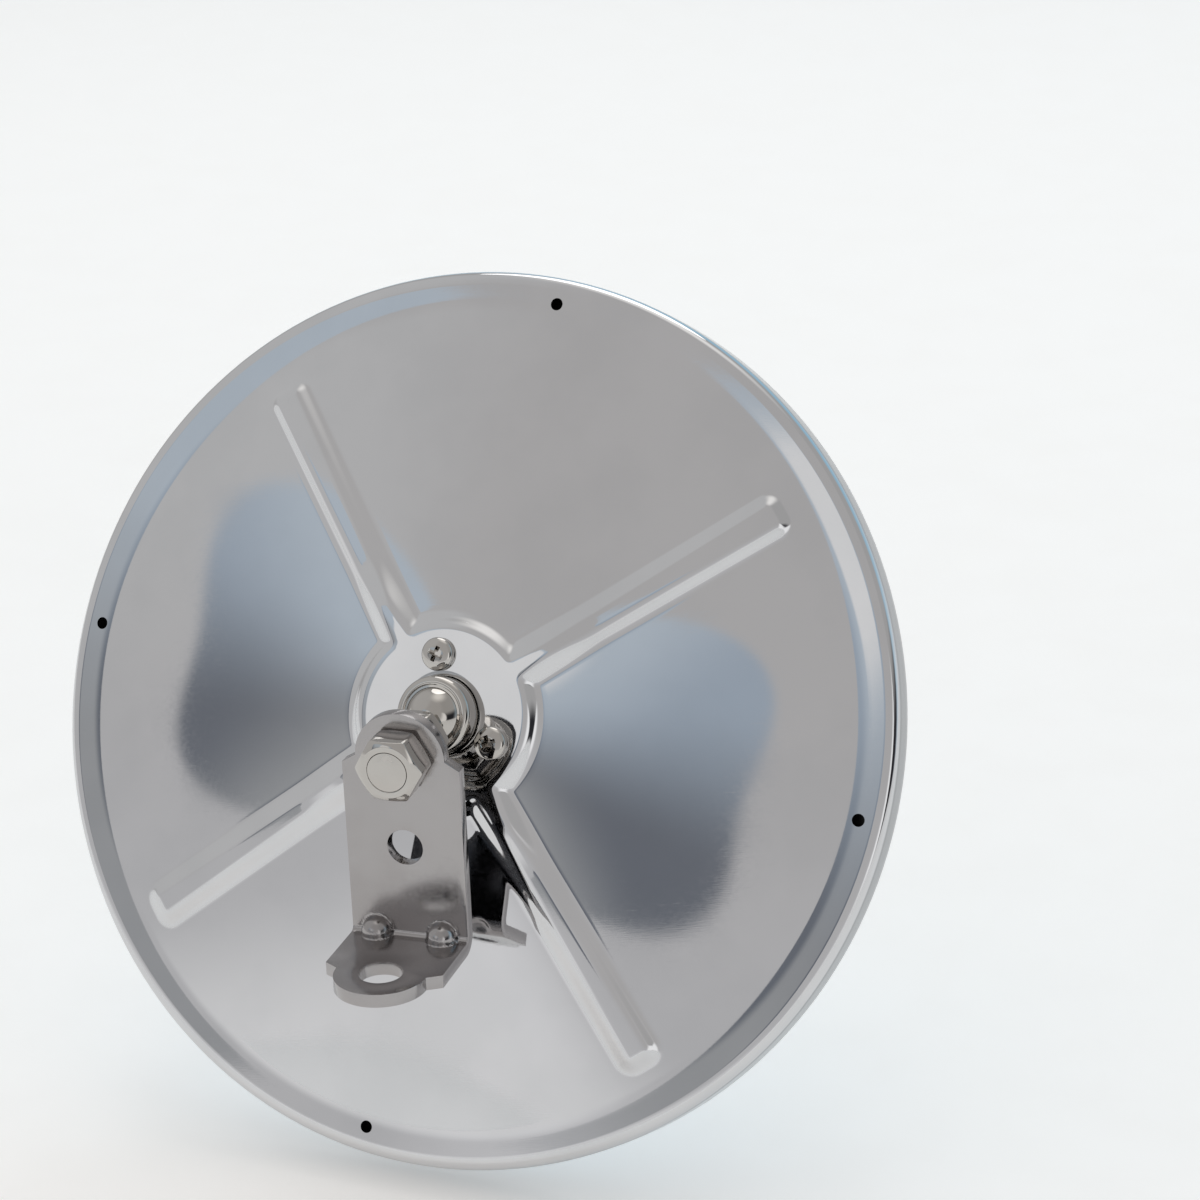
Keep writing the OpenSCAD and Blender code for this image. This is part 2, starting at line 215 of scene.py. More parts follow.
HEAD_R = 107.95
SHEET = 0.8
HUB_TOP = -1.0
FLANGE = -13.3
FLANGE_R = 99.5
FLANGE_SLOPE = 0.06
CORNER_R = 2.4
SKIRT = -21.8
HEM = 1.6
HUB_FLAT_R = 18.8
HUB_FOOT_R = 25.4
HUB_HOLE_R = 9.6
DOME_FOOT = -3.05
DOME_FOOT_R = 23.2
DOME_SLOPE = 0.125
RIB_TURN = 26
DRAIN_TURN = 72
SCREW_TURN = 28.5
SCREW_CIRCLE = 14.5
SCREW_HOLE_R = 2.12
DRAIN_CIRCLE = 101.4
DRAIN_HOLE_R = 1.5
RIB_HALF = 6.3
RIB_END = 95.2


def around(count, turn):
    """Evenly spread angles, the first one at turn degrees."""
    return [math.radians(turn + i * 360 / count) for i in range(count)]


def hole_tools(count, turn, circle, radius, low, high):
    """Cutting cylinders for the holes on a circle round the head's axis."""
    section = [(0, low), (radius, low), (radius, high), (0, high)]
    tools = []
    for a in around(count, turn):
        place = HEAD @ Matrix.Translation((circle * math.cos(a), circle * math.sin(a), 0))
        tools.append(lathe("tool", section, place, 48))
    return tools


# ---- pressed steel back ----


def dome_height(r):
    """Height of the back without ribs and hub: almost a cone, a little steeper towards the flange."""
    span = FLANGE_R - DOME_FOOT_R
    drop = DOME_FOOT - FLANGE - FLANGE_SLOPE * (HEAD_R - CORNER_R - FLANGE_R)
    out = r - DOME_FOOT_R
    curve = (drop - DOME_SLOPE * span) / span**2
    inner = DOME_FOOT - DOME_SLOPE * out
    dome = np.where(out > 0, inner - curve * out**2, inner)
    flange = FLANGE + FLANGE_SLOPE * (HEAD_R - CORNER_R - r)
    return soft_max(dome, flange, 0.12)


def rib_rise(x, y):
    """Height of the ribs above the dome: flat tops, S-shaped flanks and squarish round tips."""
    tip = 4.6
    flank_at_hub, flank_loss = 5.7, 1.7
    height, height_gain, shoulder = 1.4, 0.2, 1.4
    shoulder_end, shoulder_length = 44, 20
    start, start_length = 13, 6
    rise = np.zeros_like(x)
    for a in around(4, RIB_TURN):
        along = x * math.cos(a) + y * math.sin(a)
        across = np.abs(y * math.cos(a) - x * math.sin(a))
        out = np.clip((along - HUB_FOOT_R) / (RIB_END - HUB_FOOT_R), 0, 1)
        qx = across - (RIB_HALF - tip)
        qy = along - (RIB_END - tip)
        outside = np.hypot(np.maximum(qx, 0), np.maximum(qy, 0))
        depth = tip - outside - np.minimum(np.maximum(qx, qy), 0)
        flank = flank_at_hub - flank_loss * out
        top = height + height_gain * out + shoulder * smooth((shoulder_end - along) / shoulder_length)
        rise = np.maximum(rise, top * smooth(depth / flank) * (along > 0))
    return rise * smooth((np.hypot(x, y) - start) / start_length)


def back_height(x, y):
    """Height of the outer surface: dome with ribs, hub that stands out of it, soft lip of the hub's hole."""
    over, under = 1.3, 0.4
    lip_depth, lip_width = 0.2, 0.5
    foot_blend, top_blend = 0.9, 1.2
    r = np.hypot(x, y)
    pressed = dome_height(r) + rib_rise(x, y)
    lift = smooth((HUB_FOOT_R - r) / (HUB_FOOT_R - HUB_FLAT_R))
    hub = (HUB_TOP + over) * lift + (dome_height(r) - under) * (1 - lift)
    lip = lip_depth * np.clip(1 - (r - HUB_HOLE_R) / lip_width, 0, 1) ** 2
    joined = -soft_max(-soft_max(pressed, hub, foot_blend), -HUB_TOP, top_blend)
    return np.where(r > HUB_FLAT_R, joined, HUB_TOP) - lip


def back_rings():
    """(radius, height or None) of each ring of the back's outer surface, from the hub's hole to the hem."""
    # Closer together on the hub's lip and flank, round the ribs' tips and at the flange's edge.
    radii = [9.6, 9.7, 9.85, 10.1, 11, 12.5, 14, 15.5, 17, 18.5, 19.6, 20.3]
    radii += list(np.arange(20.6, 25.2, 0.27))
    radii += list(np.linspace(25.5, 86, 56))
    radii += list(np.arange(86.4, 97.2, 0.38))
    radii += list(np.arange(97.5, 101.5, 0.4))
    radii += [102, 102.8, 103.7, 104.5, 105.1]
    rings = [(r, None) for r in radii]
    bend = HEAD_R - CORNER_R
    for t in np.linspace(0, math.pi / 2, 9):
        rings.append((bend + CORNER_R * math.sin(t), FLANGE - CORNER_R + CORNER_R * math.cos(t)))
    roll = 0.5
    rings += [(HEAD_R, z) for z in np.linspace(FLANGE - CORNER_R - 1, SKIRT + roll, 4)]
    for t in np.linspace(0.25, 1, 4) * math.pi / 2:
        rings.append((HEAD_R - roll + roll * math.cos(t), SKIRT + roll - roll * math.sin(t)))
    rings += [(HEAD_R - SHEET - HEM * k, SKIRT) for k in (0.4, 1)]
    return rings


def back_angles(r):
    """Angles of the grid's spokes at that radius. Near a rib they run parallel to it."""
    lines = 16
    reach = 8.5
    between = 40
    side = np.linspace(-reach, reach, 2 * lines + 1) / max(r, HUB_FOOT_R)
    strip = np.arcsin(side)
    edge = strip[-1]
    gap = np.linspace(edge, TAU / 4 - edge, between + 1)[1:-1]
    quarter = np.concatenate([strip, gap])
    return np.concatenate([quarter + a for a in around(4, RIB_TURN)])


def make_back():
    """Pressed sheet with its hub, ribs, rolled edge, drain holes and screw holes."""
    points = []
    for r, z in back_rings():
        a = back_angles(r)
        x, y = r * np.cos(a), r * np.sin(a)
        height = back_height(x, y) if z is None else np.full_like(x, z)
        points.append(np.stack([x, y, height], -1))
    rows, columns = len(points), len(points[0])
    obj = mesh_piece("back_shell_skin", np.concatenate(points), grid_faces(rows, columns), HEAD)
    mesh = obj.data
    outward = sum((p.normal.dot(head_axis) * p.area for p in mesh.polygons), 0.0)
    if outward < 0:
        mesh.flip_normals()
    m = obj.modifiers.new("sheet", "SOLIDIFY")
    m.thickness = SHEET * MM
    m.offset = -1
    m.use_rim = True
    settle(obj)
    drains = hole_tools(4, DRAIN_TURN, DRAIN_CIRCLE, DRAIN_HOLE_R, -20, -8)
    screws = hole_tools(3, SCREW_TURN, SCREW_CIRCLE, SCREW_HOLE_R, -4, 2)
    return cut(obj, drains + screws)


# ---- glass and gasket ----

GLASS_R = 320
GLASS_T = 3
GLASS_EDGE = 102.5
GLASS_OPEN = 96
GLASS_FRONT = FLANGE - 11.7
GLASS_CENTRE = GLASS_FRONT + math.sqrt(GLASS_R**2 - GLASS_OPEN**2)


def glass_height(r, radius):
    """Height of a face of the glass that curves with that radius."""
    return GLASS_CENTRE - math.sqrt(radius**2 - r**2)


def make_glass():
    """Meniscus with a ground edge."""
    grind = 0.35
    rings = 44
    outer = [(r, glass_height(r, GLASS_R)) for r in np.linspace(0, GLASS_EDGE - grind, rings)]
    inner = [(r, glass_height(r, GLASS_R - GLASS_T)) for r in np.linspace(GLASS_EDGE - grind, 0, rings)]
    front_z, back_z = outer[-1][1], inner[0][1]
    edge = [(GLASS_EDGE, front_z + grind), (GLASS_EDGE, back_z - grind)]
    return settle(lathe("mirror_glass_lens", outer + edge + inner, HEAD, 192))


def make_gasket():
    """Rubber ring: bead in front of the glass, leg behind it, groove for the hem."""
    gap = 0.1
    inset = 0.15
    crest_out, crest_height = 4.6, 3.35
    lip_out, lip_height = 1, 1.5
    leg_grip, leg_clear, foot_out = 4, 3.9, 2.1
    wall = HEAD_R - SHEET - gap
    crest = (GLASS_OPEN + crest_out, GLASS_FRONT - crest_height)
    edge = (HEAD_R - inset, SKIRT - gap)
    lip = (GLASS_OPEN + lip_out, GLASS_FRONT - lip_height)
    under = FLANGE - SHEET - gap
    leg_r = GLASS_EDGE - leg_grip
    leg_back = FLANGE - SHEET - leg_clear
    foot_r = DRAIN_CIRCLE + foot_out
    section = bent_towards(edge, (edge[0] - 2.6, crest[1] + 0.5), crest, 14)
    section += bent_towards(crest, (crest[0] - 2.2, crest[1]), (lip[0] + 1.2, lip[1] + 0.3), 10)[1:]
    section += bent_towards(section[-1], (lip[0], lip[1] - 0.9), (GLASS_OPEN, GLASS_FRONT - gap), 8)[1:]
    slot_r = GLASS_EDGE + gap
    front = glass_height(GLASS_EDGE, GLASS_R)
    back = glass_height(GLASS_EDGE, GLASS_R - GLASS_T)
    section += [(r, glass_height(r, GLASS_R) - gap) for r in np.linspace(lip[0], GLASS_EDGE, 6)]
    section += [(slot_r, front - gap), (slot_r, back + gap)]
    section += [(r, glass_height(r, GLASS_R - GLASS_T) + gap) for r in np.linspace(GLASS_EDGE, leg_r, 5)]
    section += [(leg_r, leg_back), (foot_r, leg_back), (foot_r, under), (HEAD_R - CORNER_R - SHEET, under)]
    section += [(wall, FLANGE - CORNER_R - SHEET), (wall, SKIRT + SHEET + gap)]
    groove = HEAD_R - SHEET - HEM - gap
    section += [(groove, SKIRT + SHEET + gap), (groove, SKIRT - gap)]
    return settle(lathe("gasket_ring", section, HEAD, 224), 50)


# ---- ball joint and fasteners ----


def thread(root, pitch, low, high):
    """Radius function for lathe(): a V thread cut into the shank between two heights."""

    def radius(r, z, angle):
        turn = (z / pitch - angle / TAU) % 1
        tooth = np.abs(2 * turn - 1)
        deep = (r - root) * np.clip(1.3 * tooth - 0.15, 0, 1)
        within = smooth((z - low) / (pitch * 0.8)) * smooth((high - z) / (pitch * 0.8))
        return np.where((z > low) & (z < high) & (r > root), r - deep * within, r)

    return radius


def make_stud():
    """Ball, necked shank and rolled thread in one piece, with a chamfered end."""
    ball_r, neck_r, shank_r, end = 7.94, 3.4, 4.76, 35.1
    root, pitch, thread_start = 4.0, 1.5875, 13.4
    top = math.acos(neck_r / ball_r)
    section = [(ball_r * math.cos(t), ball_r * math.sin(t)) for t in np.linspace(-math.pi / 2, top, 40)]
    neck = ball_r * math.sin(top)
    section += bent_towards(section[-1], (neck_r, neck + 0.3), (neck_r, neck + 1.2), 4)[1:]
    section += [(neck_r, 11.6), (neck_r + 0.15, 12.3), (shank_r - 0.5, 13.1), (shank_r, 13.5)]
    section += [(shank_r, z) for z in np.arange(13.7, end - 1.4, 0.16)]
    section += [(shank_r, end - 0.5), (shank_r - 0.05, end - 0.36), (3.1, end - 0.04), (2.95, end), (0, end)]
    cutter = thread(root, pitch, thread_start, end - 0.9)
    return settle(lathe("ball_stud_turned", section, STUD, 96, cutter), 40)


def make_nut(name, height, base):
    """Hexagon nut with cone-chamfered corners, countersunk bore and softened edges, base from the ball."""
    flat = 14.29 / 2
    bore = 4.8
    sink = 0.15
    segments = 144
    crown = flat * 0.87
    worn_corner = 0.12
    chamfer = 31

    def outline(angle):
        turn = angle % (TAU / 6) - TAU / 12
        return np.minimum(flat / np.cos(turn), flat / math.cos(TAU / 12) - worn_corner)

    angle = np.arange(segments) * TAU / segments
    edge = outline(angle)
    fall = (edge - crown) * math.tan(math.radians(chamfer))
    ones = np.ones(segments)
    rings = [
        (bore * ones, sink * ones), ((bore + sink) * ones, 0 * ones), (crown * ones, 0 * ones),
        (0.5 * (crown + edge), 0.5 * fall), (edge, fall), (edge, height / 2 * ones),
        (edge, height - fall), (0.5 * (crown + edge), height - 0.5 * fall), (crown * ones, height * ones),
        ((bore + sink) * ones, height * ones), (bore * ones, (height - sink) * ones),
    ]
    points = [np.stack([r * np.cos(angle), r * np.sin(angle), base + z], -1) for r, z in rings]
    obj = mesh_piece(name, np.concatenate(points), grid_faces(len(rings), segments, close_rows=True), STUD)
    return bevel(obj, width=0.09, segments=2, angle=24)


def make_lock_washer():
    """Split spring washer: a ring with a slanted gap."""
    low, high, inner, outer = 19.5, 21.7, 4.82, 8.4
    steps = 120
    gap = 0.075
    slope = 0.06
    section = rounded([(inner, low, 0.25), (outer, low, 0.25), (outer, high, 0.25), (inner, high, 0.25)], 2)
    angle = np.linspace(gap, TAU - gap, steps)
    points = []
    for r, z in section:
        slant = (z - (low + high) / 2) * slope
        a = angle + slant * np.cos(angle / 2)
        points.append(np.stack([r * np.cos(a), r * np.sin(a), np.full(steps, z)], -1))
    rows = len(section)
    faces = grid_faces(rows, steps, close_rows=True, close_columns=False)
    faces += [[i * steps for i in range(rows)], [i * steps + steps - 1 for i in range(rows)]]
    return settle(mesh_piece("lock_washer_split", np.concatenate(points), faces, STUD))


def make_flat_washer():
    """Flat washer, its outer edges rounded by the stamping."""
    low, high, inner, outer = 21.7, 23.3, 4.82, 9.8
    section = rounded([(inner, low, 0.15), (outer, low, 0.4), (outer, high, 0.3), (inner, high, 0.15)], 3)
    return settle(lathe("flat_washer_stamped", section, STUD, 128))


def make_retainer():
    """Rear socket plate, whose collar closes over the ball with a rolled lip."""
    socket, collar, lip_r, lip_z = 8.0, 9.3, 1.5, 3.3
    plate_r, top, bottom = 19.4, HUB_TOP - SHEET, HUB_TOP - SHEET - 1
    lip_centre = collar - lip_r
    meet = 0.62
    section = [(socket * math.cos(t), socket * math.sin(t)) for t in np.linspace(-0.02, meet, 12)]
    section += [
        (lip_centre + lip_r * math.cos(t), lip_z + lip_r * math.sin(t))
        for t in np.linspace(math.radians(120), 0, 20)
    ]
    section += bent_towards((collar, lip_z - 0.6), (collar, top), (collar + 0.2, top), 5)
    chamfer = 0.15
    section += [(plate_r - chamfer, top), (plate_r, top - chamfer)]
    section += [(plate_r, bottom + chamfer), (plate_r - chamfer, bottom)]
    section += [(socket + 0.02, bottom)]
    obj = lathe("ball_retainer_spun", section, HEAD, 160)
    return cut(obj, hole_tools(3, SCREW_TURN, SCREW_CIRCLE, SCREW_HOLE_R, -4, -1))


def cross_tool(place):
    """Tapered cross that cuts a screw's recess."""
    long_top, long_low, wide_top, wide_low = 2.3, 0.75, 0.56, 0.4
    high, low = 2.9, 0.75

    def cross(reach, wide, z):
        corner = [(reach, -wide), (reach, wide), (wide, wide)]
        made = []
        for quarter in range(4):
            c, s = math.cos(quarter * TAU / 4), math.sin(quarter * TAU / 4)
            made += [(x * c - y * s, x * s + y * c, z) for x, y in corner]
        return made

    points = cross(long_top, wide_top, high) + cross(long_low, wide_low, low)
    n = len(points) // 2
    faces = [[i, (i + 1) % n, n + (i + 1) % n, n + i] for i in range(n)]
    faces += [list(range(n)), list(range(n, 2 * n))]
    return mesh_piece("tool", points, faces, place)


def make_screw(number):
    """Pan head machine screw with a cross recess and a rolled thread."""
    a = around(3, SCREW_TURN)[number - 1]
    x, y = SCREW_CIRCLE * math.cos(a), SCREW_CIRCLE * math.sin(a)
    driven = 45 + 17 * (number - 2)
    turned = Matrix.Rotation(a + math.radians(driven), 4, "Z")
    place = HEAD @ Matrix.Translation((x, y, HUB_TOP)) @ turned
    head_r, head_h, shank_r, length = 4.0, 2.5, 2.08, 15.9
    root, pitch = 1.65, 0.794
    edge_h = 0.8
    section = [(0, head_h)]
    for t in np.linspace(0.1, 1, 14):
        out = math.sin(t * math.pi / 2) ** 0.92
        up = math.cos(t * math.pi / 2) ** 0.8
        section.append((head_r * out, edge_h + (head_h - edge_h) * up))
    section += [(head_r, 0.35), (head_r - 0.15, 0.08), (head_r - 0.4, 0), (shank_r + 0.2, 0), (shank_r, -0.3)]
    section += [(shank_r, -z) for z in np.arange(0.5, length - 0.6, 0.1)]
    section += [(shank_r - 0.45, -length), (0, -length)]
    cutter = thread(root, pitch, -length + 0.3, -0.6)
    obj = lathe(f"clamp_screw_{number}_turned", section, place, 64, cutter)
    return cut(obj, [cross_tool(place)])


# ---- bracket ----

PLATE_Y = -19.2
STRIP_T = 3.2
STRIP_W = 28.6
STUD_Z = 48.0
BEND_R = 1.4
END_R = 10.9
SHOULDER = 2.0
STUD_HOLE_R = 4.85
SPARE_HOLE_R = 4.37
SPARE_HOLE_AT = 22.2
FOOT_HOLE_R = 5.16
BEND_OUT = BEND_R + STRIP_T
STRAIGHT = STUD_Z - BEND_OUT
ARC = BEND_OUT * math.pi / 2
FOOT = STRAIGHT + ARC + (-PLATE_Y - BEND_R)


def strip_place(u, w, depth):
    """Row-frame points of the flat strip's (u, w) once bent, that deep below its outside.

    u is 0 at the stud hole's height and grows down the plate, round the bend and out along the foot."""
    t = np.clip((u - STRAIGHT) / ARC, 0, 1) * math.pi / 2
    radius = BEND_OUT - depth
    y = PLATE_Y + BEND_R - radius * np.cos(t) + np.maximum(u - STRAIGHT - ARC, 0)
    z = np.where(u < STRAIGHT, STUD_Z - u, BEND_OUT - radius * np.sin(t))
    return np.stack([w + 0 * u, y, z], -1)


def strip_loops():
    """Outline and holes of the flat strip, as loops of (u, w)."""
    half = STRIP_W / 2
    spacing = 1.2
    outline = []
    for t in np.linspace(0, math.pi, 33):
        outline.append((-END_R * math.sin(t), -END_R * math.cos(t)))
    outline += [(SHOULDER, half)]
    outline += [(u, half) for u in np.arange(SHOULDER + 3, FOOT - SHOULDER - 1, spacing)]
    outline += [(FOOT - SHOULDER, half)]
    for t in np.linspace(0, math.pi, 33):
        outline.append((FOOT + END_R * math.sin(t), END_R * math.cos(t)))
    outline += [(FOOT - SHOULDER, -half)]
    outline += [(u, -half) for u in np.arange(FOOT - SHOULDER - spacing, SHOULDER + 2, -spacing)]
    outline += [(SHOULDER, -half)]
    holes = []
    ring = np.arange(48) * TAU / 48
    for at, radius in ((0.0, STUD_HOLE_R), (SPARE_HOLE_AT, SPARE_HOLE_R), (FOOT, FOOT_HOLE_R)):
        holes.append([(at + radius * math.cos(t), radius * math.sin(t)) for t in ring])
    return outline, holes


def make_bracket():
    """Bent strip with round ends, three holes and two pressed dimples that stiffen its bend."""
    outline, holes = strip_loops()
    points, edges = [], []
    for loop in [outline] + holes:
        first = len(points)
        points += loop
        edges += [(first + i, first + (i + 1) % len(loop)) for i in range(len(loop))]
    half = STRIP_W / 2
    fine, coarse = 0.42, 2.4
    for u in np.arange(STRAIGHT - 6.5, STRAIGHT + ARC + 6.6, fine):
        for w in np.arange(-half + 0.6, half - 0.5, fine):
            points.append((u, w))
    for u in np.arange(4, STRAIGHT - 7, coarse):
        for w in np.arange(-half + 2, half - 1.5, coarse):
            points.append((u, w))
    out = delaunay_2d_cdt([Vector(p) for p in points], edges, [], 1, 1e-5)
    flat, triangles = np.array([tuple(p) for p in out[0]]), [list(f) for f in out[2]]
    centre = np.array([flat[f].mean(0) for f in triangles])
    keep = np.ones(len(triangles), bool)
    for loop in holes:
        loop = np.array(loop)
        middle = loop.mean(0)
        keep &= np.hypot(*(centre - middle).T) > np.hypot(*(loop[0] - middle)) * 0.998
    triangles = [f for f, k in zip(triangles, keep) if k]
    used = sorted({i for f in triangles for i in f})
    number = {old: new for new, old in enumerate(used)}
    triangles = [[number[i] for i in f] for f in triangles]
    flat = flat[used]
    outer = strip_place(flat[:, 0], flat[:, 1], 0.0)
    inner = strip_place(flat[:, 0], flat[:, 1], STRIP_T)

    # Each dimple is a ball pushed along the bend's diagonal, with a soft edge.
    diagonal = np.array((0, 1, 1)) / math.sqrt(2)
    dimple = 3.7
    edge = 0.7
    for side in (-8.0, 8.0):
        bulge = np.array((side, PLATE_Y + BEND_R * 0.5, STRIP_T + BEND_R * 0.5))
        hollow = np.array((side, PLATE_Y - STRIP_T - BEND_R * 0.2, -BEND_R * 0.2))
        for surface, centre in ((inner, bulge), (outer, hollow)):
            rel = surface - centre
            along = rel @ diagonal
            beside = np.linalg.norm(rel - along[:, None] * diagonal, axis=1)
            reach = np.sqrt(np.maximum(dimple**2 - beside**2, 0)) * (beside < dimple)
            level = np.where(beside < dimple, reach, -0.8 * (beside - dimple) - 0.6)
            push = soft_max(level - along, 0 * along, edge)
            near = beside < dimple + 3
            surface += (push * near)[:, None] * diagonal
    n = len(flat)
    faces = triangles + [[n + i for i in reversed(f)] for f in triangles]
    seen = dict.fromkeys((a, b) for f in triangles for a, b in zip(f, f[1:] + f[:1]))
    faces += [[b, a, n + a, n + b] for a, b in seen if (b, a) not in seen]
    obj = mesh_piece("l_bracket_pressed", np.concatenate([outer, inner]), faces, ROW)
    return bevel(obj, width=0.38, segments=3, angle=50)


# ---- node graphs ----


class Graph:
    """Short ways to add and link shader nodes."""

    def __init__(self, tree):
        self.tree = tree
        tree.nodes.clear()

    def add(self, kind, *inputs, **values):
        node = self.tree.nodes.new("ShaderNode" + kind)
        for key, value in values.items():
            if hasattr(node, key):
                setattr(node, key, value)
        named = [(key.replace("_", " "), value) for key, value in values.items() if not hasattr(node, key)]
        for key, value in list(enumerate(inputs)) + named:
            if value is not None:
                self.feed(node.inputs[key], value)
        return node

    def feed(self, socket, value):
        """Links a socket's value, or sets a constant."""
        if isinstance(value, bpy.types.NodeSocket):
            self.tree.links.new(value, socket)
        else:
            socket.default_value = value

    def math(self, operation, a, b=None):
        return self.add("Math", a, b, operation=operation).outputs[0]

    def dot(self, a, b):
        return self.add("VectorMath", a, b, operation="DOT_PRODUCT").outputs["Value"]

    def step(self, value, low, high, out_low=0.0, out_high=1.0):
        """Smooth change from out_low to out_high as value goes from low to high."""
        node = self.add("MapRange", interpolation_type="SMOOTHSTEP")
        sockets = ("Value", "From Min", "From Max", "To Min", "To Max")
        for socket, number in zip(sockets, (value, low, high, out_low, out_high)):
            self.feed(node.inputs[socket], number)
        return node.outputs["Result"]

    def blend(self, share, a, b):
        """Colour a where share is 0 and b where it is 1."""
        node = self.tree.nodes.new("ShaderNodeMix")
        node.data_type = "RGBA"
        for socket, value in ((0, share), (6, a), (7, b)):
            self.feed(node.inputs[socket], (*value, 1) if isinstance(value, tuple) else value)
        return node.outputs[2]


def material(name, colour, metallic, roughness, spread, tint=None, wear=None, grain=None,
             grain_strength=0.0, wave=None, wave_strength=0.0, place=None, painted_shade_towards=None, painted_shade_rim=None, **sockets):
    """Procedural finish.

    roughness varies by spread and grows by wear on scratches. colour runs to tint in soft patches. grain is
    a fine stretched noise and wave a broad one, both as bump. place turns the pattern into a piece's own
    frame. Faces that look along the shade direction get painted shade, a dark mottled colour that stands in
    for the shadow and the dark reflection on that side. Faces that don't look along the head's axis, which
    are the skirt, the hem and the inside, get the rim colour as painted shade, a darker reflection painted
    on."""
    m = bpy.data.materials.new(name)
    m.use_nodes = True
    g = Graph(m.node_tree)
    out = g.add("OutputMaterial")
    shader = g.add("BsdfPrincipled")
    m.node_tree.links.new(shader.outputs[0], out.inputs["Surface"])
    where = g.add("TexCoord").outputs["Object"]
    if place is not None:
        turned = g.add("Mapping", where)
        turned.vector_type = "POINT"
        back = place.to_3x3().normalized().inverted()
        turned.inputs["Rotation"].default_value = back.to_euler()
        where = turned.outputs["Vector"]
    patch_scale, fine_scale = 38.0, 900.0
    soft = g.add("TexNoise", where, Scale=patch_scale, Detail=3.0, Roughness=0.55).outputs["Fac"]
    fine = g.add("TexNoise", where, Scale=fine_scale, Detail=2.0, Roughness=0.6).outputs["Fac"]
    tint = tint or tuple(c * 0.93 for c in colour)
    patches = g.step(soft, 0.35, 0.7)
    shade = g.blend(patches, colour, tint)
    mixed = g.math("ADD", g.math("MULTIPLY", soft, 0.6), g.math("MULTIPLY", fine, 0.4))
    rough = g.step(mixed, 0.35, 0.65, roughness * (1 - spread), roughness * (1 + spread))
    if wear is not None:
        scratch = g.add("Mapping", where)
        scratch.inputs["Scale"].default_value = (160, 2600, 900)
        scratch.inputs["Rotation"].default_value = (0.3, 0.2, 0.5)
        lines = g.add("TexNoise", scratch.outputs[0], Scale=1.0, Detail=2.0).outputs["Fac"]
        worn = g.step(lines, 0.66, 0.74)
        rough = g.math("ADD", rough, g.math("MULTIPLY", worn, wear))
    # Painted shade: faces that look along the given direction get a dark mottled colour that stands in for
    # the shadow and dark reflection on that side.
    if painted_shade_towards is not None:
        facing = g.dot(g.add("TexCoord").outputs["Normal"], painted_shade_towards)
        shade_dark, shade_light = (0.06, 0.06, 0.065), (0.10, 0.10, 0.105)
        shade_colour = g.blend(g.step(fine, 0.3, 0.7), shade_dark, shade_light)
        shade = g.blend(g.step(facing, 0.75, 0.95), shade, shade_colour)
    # Painted shade: the skirt, the hem and the inside get the rim colour, a darker reflection painted on;
    # they are also made rougher.
    if painted_shade_rim is not None:
        axis = tuple(HEAD.to_3x3().normalized().col[2])
        facing = g.dot(g.add("TexCoord").outputs["Normal"], axis)
        rim_shade_mask = g.step(facing, 0.42, 0.08)
        shade = g.blend(rim_shade_mask, shade, painted_shade_rim)
        rough = g.math("ADD", rough, g.math("MULTIPLY", rim_shade_mask, 0.1))
    m.node_tree.links.new(shade, shader.inputs["Base Color"])
    m.node_tree.links.new(rough, shader.inputs["Roughness"])
    shader.inputs["Metallic"].default_value = metallic
    for key, value in sockets.items():
        shader.inputs[key.replace("_", " ")].default_value = value
    normal = None
    if wave is not None:
        broad = g.add("TexNoise", where, Scale=wave, Detail=1.0, Roughness=0.4).outputs["Fac"]
        normal = g.add("Bump", Strength=wave_strength, Distance=0.001, Height=broad).outputs["Normal"]
    if grain is not None:
        stretched = g.add("Mapping", where)
        stretched.inputs["Scale"].default_value = grain
        lines = g.add("TexNoise", stretched.outputs[0], Scale=1.0, Detail=3.0, Roughness=0.6).outputs["Fac"]
        bump = g.add("Bump", Strength=grain_strength, Distance=0.0001, Height=lines, Normal=normal)
        normal = bump.outputs["Normal"]
    if normal is not None:
        m.node_tree.links.new(normal, shader.inputs["Normal"])
    return m


